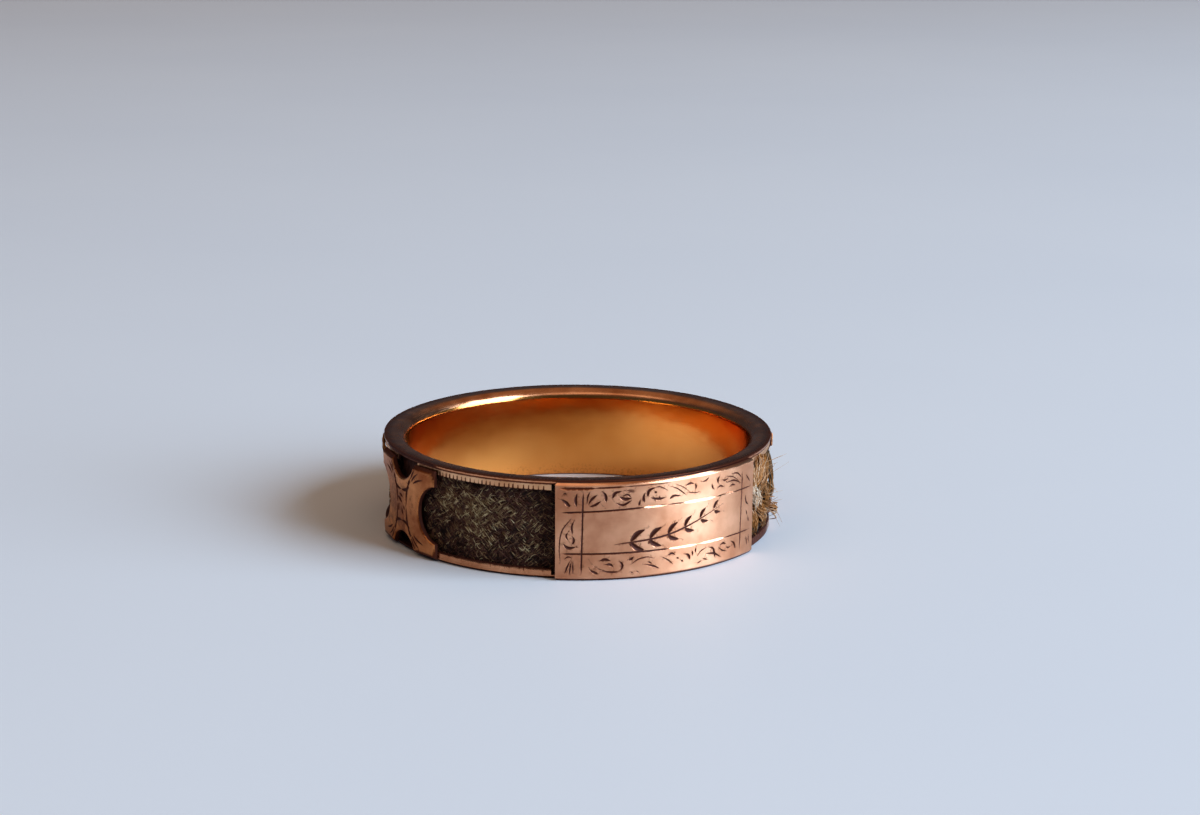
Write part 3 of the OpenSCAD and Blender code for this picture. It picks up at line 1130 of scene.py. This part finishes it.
# %% The saddles
# Columns: width in mm, fullest part as a share, then points as mm along and up from the plate's middle
SADDLE_QUARTER = [
    (0.12, 0.50, (0.46, 0.00), (0.52, 0.72), (0.86, 1.50)),
    (0.12, 0.50, (0.00, 0.80), (0.38, 0.84), (0.78, 1.05)),
    (0.08, 0.40, (0.98, 1.40), (1.22, 1.68), (1.56, 1.92)),
    (0.08, 0.40, (0.92, 1.52), (1.10, 1.84), (1.28, 2.04)),
    (0.08, 0.40, (1.14, 1.34), (1.46, 1.52), (1.92, 1.66)),
    (0.13, 0.60, (0.66, 1.16), (0.86, 1.44)),
]
SADDLE_MIDDLE = [
    (0.13, 0.50, (-0.44, 0.36), (-0.20, 0.28), (0.06, 0.10)),
    (0.11, 0.50, (-0.22, 0.56), (0.12, 0.42)),
    (0.11, 0.50, (-0.30, 0.02), (-0.34, -0.42)),
    (0.12, 0.50, (-0.02, -0.16), (0.16, -0.52)),
    (0.10, 0.50, (0.18, 0.00), (0.30, -0.24)),
]
# Tarnish mixed with painted shade: the patch sits left of the middle, where the near plate mirrors the
# ring's own shadow, the horns stay clean for their brighter reflection, and the long bevels are dark.
saddle_grime_and_shade = 0.2
saddle_shine = 0.3
saddle_bevel, saddle_bevel_drop, bevel_grime_and_shade = 0.14, 0.17, 0.5
saddle_round_drop = 0.07
# Where the brown patch of tarnish and painted shade lies on the face, and how far it reaches along and up
patch_middle, patch_reach, patch_rise = -0.8, 1.9, 2.1


def saddle_cuts():
    """Cuts of one saddle, with the quarter mirrored four ways."""
    cuts = []
    for along in (-1, 1):
        for up in (-1, 1):
            for width, fullest, *places in SADDLE_QUARTER:
                path = [(along * x, saddle_mid + up * y) for x, y in places]
                cuts.append(tapered_cut(path, width, fullest))
    for width, fullest, *places in SADDLE_MIDDLE:
        cuts.append(tapered_cut([(x, saddle_mid + y) for x, y in places], width, fullest))
    return cuts


def saddle_drop(flat):
    """How far a saddle's face falls near its edges: filed on the long sides, rubbed round elsewhere."""
    rounding = saddle_round_drop * np.clip(1 - distance_to(saddle_shape, flat) / saddle_round, 0, 1) ** 1.6
    from_edge = np.minimum(flat[:, 1] - saddle_low, saddle_high - flat[:, 1])
    return np.maximum(rounding, saddle_bevel_drop * np.clip(1 - from_edge / saddle_bevel, 0, 1) ** 1.1)


def saddle_face_grime_and_shade(flat):
    """Tarnish with painted shade: brown patches round a saddle's middle, cleaner horns, dark long bevels."""
    off_middle = np.hypot((flat[:, 0] - patch_middle) / patch_reach, (flat[:, 1] - saddle_mid) / patch_rise)
    patch = np.array([noise.noise(Vector((2.6 * x, 2.6 * y, 5.0))) for x, y in flat])
    face = saddle_grime_and_shade * np.clip(1.25 - off_middle + 0.9 * patch, 0, 1)
    from_edge = np.minimum(flat[:, 1] - saddle_low, saddle_high - flat[:, 1])
    return np.maximum(face, bevel_grime_and_shade * (from_edge < saddle_bevel - 0.02))


saddle_rings = [inset(saddle_shape, saddle_round * share) for share in (0.3, 0.65, 1.0)]
saddle_rings = [np.vstack([ring, ring[:1]]) for ring in saddle_rings]
for name, angle in (
    ("saddle_left", -near_angle), ("saddle_right", near_angle),
    ("saddle_back_left", -far_angle), ("saddle_back_right", far_angle),
):
    saddle = bent_plate(
        "worn_" + name, angle, saddle_r, saddle_seat,
        saddle_shape, saddle_rings, saddle_drop, saddle_shine, saddle_face_grime_and_shade, saddle_cuts(), saddle_gold,
    )
    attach(saddle, "root")
    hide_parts(name)
    print(saddle.name + ":", len(saddle.data.polygons), "faces")

# %% [markdown]
# Human hair is a round fibre under a tenth of a millimetre thick. In this ring it was plaited into a flat
# braid and laid in the channel. Now it is dusty and faded to olive in the middle of each window, and it is
# painted nearly black at the edges as the shade under the plates and rims. Hair could be a particle system,
# but the kept mesh should be real tubes. So the braid gets a dark ribbed bed, and thousands of short strands
# arch over it.

# %% Faded hair
HAIR_BLACK = "2A1713"
HAIR_BROWN = "70463A"
HAIR_OLIVE = "A68A64"
HAIR_DUST = "E8D6AC"
hair_grain_mm = 0.12
hair_mottling = 0.3


def faded_hair(name, sheen):
    """Old human hair: dull, with a soft gloss on each strand and a colour that changes from lock to lock."""
    material, tree, surface = new_material(name)
    tone = add_node(tree, "Attribute", {"attribute_name": "tone"}).outputs["Fac"]
    place = add_node(tree, "TexCoord").outputs["Object"]
    grain = add_node(tree, "TexNoise", inputs={
        "Vector": place, "Scale": every(hair_grain_mm), "Detail": 2.0,
    })
    shift = add_node(tree, "Math", {"operation": "MULTIPLY_ADD"}, {
        0: grain.outputs["Fac"], 1: hair_mottling, 2: -hair_mottling / 2,
    })
    mottled = add_node(tree, "Math", {"operation": "ADD"}, {0: tone, 1: shift.outputs[0]})
    shade = colour(HAIR_BLACK)
    for low, high, hex_value in ((0.0, 0.35, HAIR_BROWN), (0.35, 0.7, HAIR_OLIVE), (0.7, 1.0, HAIR_DUST)):
        step = add_node(tree, "MapRange", inputs={
            "Value": mottled.outputs[0], "From Min": low, "From Max": high,
        })
        shade = add_node(tree, "Mix", {"data_type": "RGBA"}, {
            0: step.outputs[0], 6: shade, 7: colour(hex_value),
        }).outputs[2]
    fibre = add_node(tree, "BsdfPrincipled", inputs={
        "Base Color": shade, "Roughness": 0.55, "IOR": 1.55, "Specular IOR Level": sheen,
    })
    tree.links.new(fibre.outputs[0], surface)
    return material


strand_hair = faded_hair("faded_human_hair", sheen=0.4)
bed_hair = faded_hair("shaded_hair_bed", sheen=0.15)
print("hair:", strand_hair.name, "and", bed_hair.name)

# %% [markdown]
# The bed is one closed ring, lofted like the band, whose face rises and falls in a plait: two sets of
# diagonal ribs, where the higher one shows. It only shows in the gaps between strands and under the
# saddles' bites, so its very dark colour is painted shade, darkest in the valleys and at its edges.

# %% The braid's bed
hair_low, hair_high = size_of("hair")[0].z, size_of("hair")[1].z
hair_gap = 0.03
hair_inner_r = channel_floor_r + hair_gap
bed_sink = 0.17
bed_r = hair_r - bed_sink
bed_rib, bed_edge_drop, bed_edge_width = 0.07, 0.1, 0.25
# Painted shade: the bed's tone is darkest in the valleys and at its edges
valley_tone, rib_tone = 0.06, 0.14
plait_pitch = 0.72
bed_columns = 1080
bed_rows = 24


def plait(along, up):
    """Height of the plait from 0 to 1 at places in millimetres."""
    left = np.sin(2 * math.pi * (along + 0.9 * up) / plait_pitch)
    right = np.sin(2 * math.pi * (along - 0.9 * up) / plait_pitch + 1.3)
    return 0.5 + 0.5 * np.maximum(left, right)


def hair_bed():
    """Closed outlines of the braid's bed and the tone of every point."""
    heights = np.linspace(hair_low, hair_high, bed_rows)
    angles = np.linspace(0, 360, bed_columns, endpoint=False)
    turn, up = np.meshgrid(angles, heights, indexing="ij")
    ribs = plait(np.radians(turn) * hair_r, up)
    inside = np.clip(np.minimum(up - hair_low, hair_high - up) / bed_edge_width, 0, 1)
    face = np.stack([turn, bed_r - bed_edge_drop * (1 - inside) + bed_rib * ribs, up], -1)
    back = np.stack([turn[:, [-1, 0]], np.full((bed_columns, 2), hair_inner_r), up[:, [-1, 0]]], -1)
    tone = np.concatenate([valley_tone + rib_tone * ribs * inside, np.zeros((bed_columns, 2))], 1)
    return np.concatenate([face, back], 1), tone.reshape(-1)


bed_rings, bed_tone = hair_bed()
bed = new_object("plaited_hair_bed", *loft(bent(bed_rings), wrap=True), bed_hair)
face_outwards(bed)
mark(bed, "tone", bed_tone)
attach(bed, "root")
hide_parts("hair")
print("bed:", len(bed.data.polygons), "faces")

# %% [markdown]
# A strand here is a three-sided tube in four rings, thin at both ends, which smooth shading rounds off. It
# is about 0.05 mm thick, as fine hair is, and that is close to one pixel of the render. The real braid has
# far more hairs, and long ones. Here short strands are laid only in the windows between the plates. They
# come in locks that share a slant, and the slant flips from one row of locks to the next, as it does in a
# plait, with some locks out of step.

# %% Strands
strand_r = 0.026
strand_rings = 4
strand_length = (0.22, 0.56)
strand_arch = (0.03, 0.09)
strand_sink = 0.12
lock_strands = 6
lock_pitch = 0.26
lock_width = (0.22, 0.34)
lock_slant = (30, 52)
locks_out_of_step = 0.3


def strand_tubes(flat, thickness):
    """Tubes along many strands at once. flat is strands by rings by degrees, radius and height."""
    count, steps = flat.shape[:2]
    middle = bent(flat)
    along = np.gradient(middle, axis=1)
    along /= np.linalg.norm(along, axis=2)[..., None] + 1e-12
    turn = np.radians(flat[..., 0])
    out = np.stack([np.sin(turn), -np.cos(turn), np.zeros_like(turn)], -1)
    side = np.cross(along, out)
    side /= np.linalg.norm(side, axis=2)[..., None] + 1e-12
    out = np.cross(side, along)
    swell = np.sin(np.linspace(0.28, math.pi - 0.28, steps))[None, :, None] * thickness[:, None, None] * MM
    ring = [middle + swell * (math.cos(t) * side + math.sin(t) * out) for t in np.radians((90, 210, 330))]
    points = np.stack(ring, 2).reshape(-1, 3)
    faces = []
    for strand in range(count):
        for step in range(steps - 1):
            a = (strand * steps + step) * 3
            faces += [(a + k, a + (k + 1) % 3, a + 3 + (k + 1) % 3, a + 3 + k) for k in range(3)]
        first, last = strand * steps * 3, (strand * steps + steps - 1) * 3
        faces += [(first + 2, first + 1, first), (last, last + 1, last + 2)]
    return points, faces


def lock_centres(rng, length, height, pitch):
    """Jittered places on a staggered grid, in mm along and up."""
    rows = np.arange(-pitch / 2, height + pitch, pitch * 0.62)
    places = []
    for row, up in enumerate(rows):
        for along in np.arange(0, length, pitch):
            jitter = rng.uniform(-0.3, 0.3, 2) * pitch
            places.append((along + (row % 2) * pitch / 2 + jitter[0], up + jitter[1], row % 2))
    return np.array(places)


def window_tone(share, up_share, seed):
    """How pale the hair is: faded patches in the middle, painted shade dark along the frame."""
    patch = np.array([noise.noise(Vector((3.1 * s, 2.3 * u, seed))) for s, u in zip(share, up_share)])
    # Painted shade: the hair darkens towards the plates and the rims
    from_ends = np.clip(np.minimum(share, 1 - share) / 0.16, 0, 1)
    from_edges = np.clip(np.minimum(up_share, 1 - up_share) / 0.2, 0, 1)
    return 0.12 + 0.3 * from_ends * from_edges * np.clip(0.8 + 1.1 * patch, 0, 1.5)


def window_of_hair(name, start, end, patches, seed):
    """Strands that fill one window between two plates."""
    rng = np.random.default_rng(seed)
    length = math.radians(end - start) * hair_r
    height = hair_high - hair_low
    locks = lock_centres(rng, length, height, lock_pitch)
    slant = np.where(locks[:, 2] > 0, 1, -1) * np.radians(rng.uniform(*lock_slant, len(locks)))
    flip = rng.random(len(locks)) < locks_out_of_step
    slant = np.where(flip, -slant, slant)
    lock = np.repeat(np.arange(len(locks)), lock_strands)
    spread = np.tile(np.linspace(-0.5, 0.5, lock_strands), len(locks))
    heading = slant[lock] + rng.normal(0, 0.12, len(lock))
    offset = spread * rng.uniform(*lock_width, len(lock))
    along = locks[lock, 0] - np.sin(heading) * offset + rng.normal(0, 0.02, len(lock))
    up = locks[lock, 1] + np.cos(heading) * offset + rng.normal(0, 0.02, len(lock))
    reach = rng.uniform(*strand_length, len(lock))
    curve = rng.normal(0, 0.06, len(lock))
    base = hair_r - strand_sink + rng.uniform(-0.03, 0.05, len(lock))
    arch = rng.uniform(*strand_arch, len(lock))
    t = np.linspace(-0.5, 0.5, strand_rings)[None]
    bow = curve[:, None] * (4 * t * t - 1)
    x = along[:, None] + reach[:, None] * t * np.cos(heading)[:, None] - bow * np.sin(heading)[:, None]
    y = up[:, None] + reach[:, None] * t * np.sin(heading)[:, None] + bow * np.cos(heading)[:, None]
    y = np.clip(y, 0.05, height - 0.05)
    x = np.clip(x, 0, length)
    r = base[:, None] + arch[:, None] * (1 - 4 * t * t)
    flat = np.stack([start + np.degrees(x / hair_r), r, hair_low + y], -1)
    tone = window_tone(along / length, up / height, patches) + 0.14 * rng.normal(0, 1, len(locks))[lock]
    tone += 0.75 * rng.random(len(lock))**3 - 0.1
    points, faces = strand_tubes(flat, strand_r * rng.uniform(0.75, 1.2, len(lock)))
    made = new_object(name, points, faces, strand_hair)
    mark(made, "tone", np.repeat(np.clip(tone, 0, 1), strand_rings * 3))
    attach(made, "root")
    return made


# Degrees from a saddle's middle to the hair, which starts just under the edge of the plate's end bite
waist = 8.0
windows = (
    ("hair_window_right", plaque_half, near_angle - waist, 40.0),
    ("hair_window_back_right", near_angle + waist, far_angle - waist, 41.0),
    ("hair_window_back", far_angle + waist, 360 - far_angle - waist, 42.0),
    ("hair_window_back_left", 360 - far_angle + waist, 360 - near_angle - waist, 43.0),
    ("hair_window_left", 360 - near_angle + waist, 360 - plaque_half, 199.0),
)
for seed, (name, start, end, patches) in enumerate(windows):
    made = window_of_hair(name, start, end, patches, 40 + seed)
    print(name + ":", len(made.data.polygons), "faces")

# %% [markdown]
# Beside the plaque's right end the braid has burst. Golden brown ends stand out past the gold, most of
# them matted into locks and a few flying free. They are the same tubes as before, longer and with more
# rings. The strands of one lock follow the same bulging path, each with its own drift and frizz. A little
# dull hair has also crept out under the upper flange behind the left saddle.

# %% The frayed end
FRAY_GOLD = "AA6E30"
FRAY_BROWN = "2C2416"
FRAY_PALE = "E2D0BA"


def sunlit_hair(name):
    """Hair that light has bleached to golden brown, and in places to pale straw."""
    material, tree, surface = new_material(name)
    tone = add_node(tree, "Attribute", {"attribute_name": "tone"}).outputs["Fac"]
    shade = colour(FRAY_BROWN)
    for low, high, hex_value in ((0.0, 0.5, FRAY_GOLD), (0.5, 1.0, FRAY_PALE)):
        step = add_node(tree, "MapRange", inputs={"Value": tone, "From Min": low, "From Max": high})
        shade = add_node(tree, "Mix", {"data_type": "RGBA"}, {
            0: step.outputs[0], 6: shade, 7: colour(hex_value),
        }).outputs[2]
    fibre = add_node(tree, "BsdfPrincipled", inputs={
        "Base Color": shade, "Roughness": 0.5, "IOR": 1.55, "Specular IOR Level": 0.4,
    })
    tree.links.new(fibre.outputs[0], surface)
    return material


# Columns: degrees and mm up where a lock starts, the same where it ends, mm that it bulges, tone, strands
LOCKS = [
    (46.0, 4.50, 35.0, 3.00, 0.44, 0.50, 100),
    (52.0, 4.30, 40.0, 2.60, 0.40, 0.34, 90),
    (41.5, 4.75, 37.0, 3.10, 0.44, 0.46, 110),
    (36.0, 4.50, 34.5, 2.70, 0.42, 0.54, 80),
    (32.6, 4.70, 34.4, 3.40, 0.40, 0.62, 60),
    (32.9, 4.00, 34.8, 2.10, 0.44, 0.78, 60),
    (35.0, 3.00, 39.0, 2.00, 0.56, 0.74, 60),
    (36.0, 2.30, 45.0, 1.00, 0.60, 0.38, 120),
    (34.0, 2.20, 38.0, 0.90, 0.46, 0.34, 110),
    (43.0, 1.95, 51.0, 1.20, 0.92, 0.50, 26),
    (49.0, 4.20, 54.0, 1.40, 0.50, 0.12, 130),
    (57.0, 4.40, 60.0, 1.20, 0.42, 0.08, 110),
    (45.0, 3.30, 49.0, 1.20, 0.46, 0.22, 100),
    (33.5, 1.40, 41.0, 0.70, 0.34, 0.10, 100),
    (38.0, 1.30, 56.0, 0.85, 0.32, 0.04, 120),
    (-106.0, 3.80, -118.0, 4.80, 0.38, 0.36, 50),
    (-116.0, 3.80, -128.0, 4.80, 0.38, 0.40, 50),
]
lock_spread = 0.19
fray_r = 0.024
fray_rings = 8
fray_low, fray_high = 0.42, 4.75
stray_count = 22
stray_low, stray_high = 0.1, 5.6
stray_thinness = 0.6


def tufted_strands():
    """Curved strands that leave the channel, in locks and then one by one, with their tones."""
    rng = np.random.default_rng(77)
    steps = np.linspace(0, 1, fray_rings)
    strands, tones = [], []
    for start, low, end, high, bulge, tone, count in LOCKS:
        for _ in range(count):
            begin, span = rng.uniform(0, 0.35), rng.uniform(0.45, 0.75)
            share = begin + span * steps
            drift = rng.normal(0, lock_spread, 3)
            frizz = 0.05 * np.sin(steps * rng.uniform(3, 9) + rng.uniform(0, 6))
            turn = start + (end - start) * share + np.degrees((drift[0] + frizz) / hair_r)
            rise = low + (high - low) * share + drift[1] * (0.5 + share) + frizz[::-1]
            radius = hair_r - 0.1 + bulge * np.sin(math.pi * np.clip(share, 0, 1)) + 0.25 * drift[2] * steps
            strands.append(np.stack([turn, radius, np.clip(rise, fray_low, fray_high)], -1))
            tones.append(tone + rng.normal(0, 0.12) + 0.3 * rng.random() ** 8)
    for _ in range(stray_count):
        reach = rng.uniform(0.9, 2.0)
        heading = rng.uniform(-1.0, 1.1)
        bend = rng.normal(0, 0.8)
        turn = rng.uniform(35, 48) + np.degrees(reach * steps * math.cos(heading) * 0.7 / hair_r)
        rise = rng.uniform(1.2, 4.3) + reach * steps * (math.sin(heading) + bend * steps) * 0.5
        radius = hair_r + reach * (0.5 * steps + 0.12 * steps**2 * rng.normal())
        strands.append(np.stack([turn, radius, np.clip(rise, stray_low, stray_high)], -1))
        tones.append(rng.uniform(0.3, 0.8))
    return np.array(strands), np.clip(tones, 0, 1)


frayed, frayed_tones = tufted_strands()
thickness = fray_r * np.random.default_rng(5).uniform(0.6, 1.4, len(frayed))
thickness[-stray_count:] *= stray_thinness
fray = new_object("frayed_hair_end", *strand_tubes(frayed, thickness), sunlit_hair("bleached_human_hair"))
mark(fray, "tone", np.repeat(frayed_tones, frayed.shape[1] * 3))
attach(fray, "root")
print("frayed end:", len(frayed), "strands")
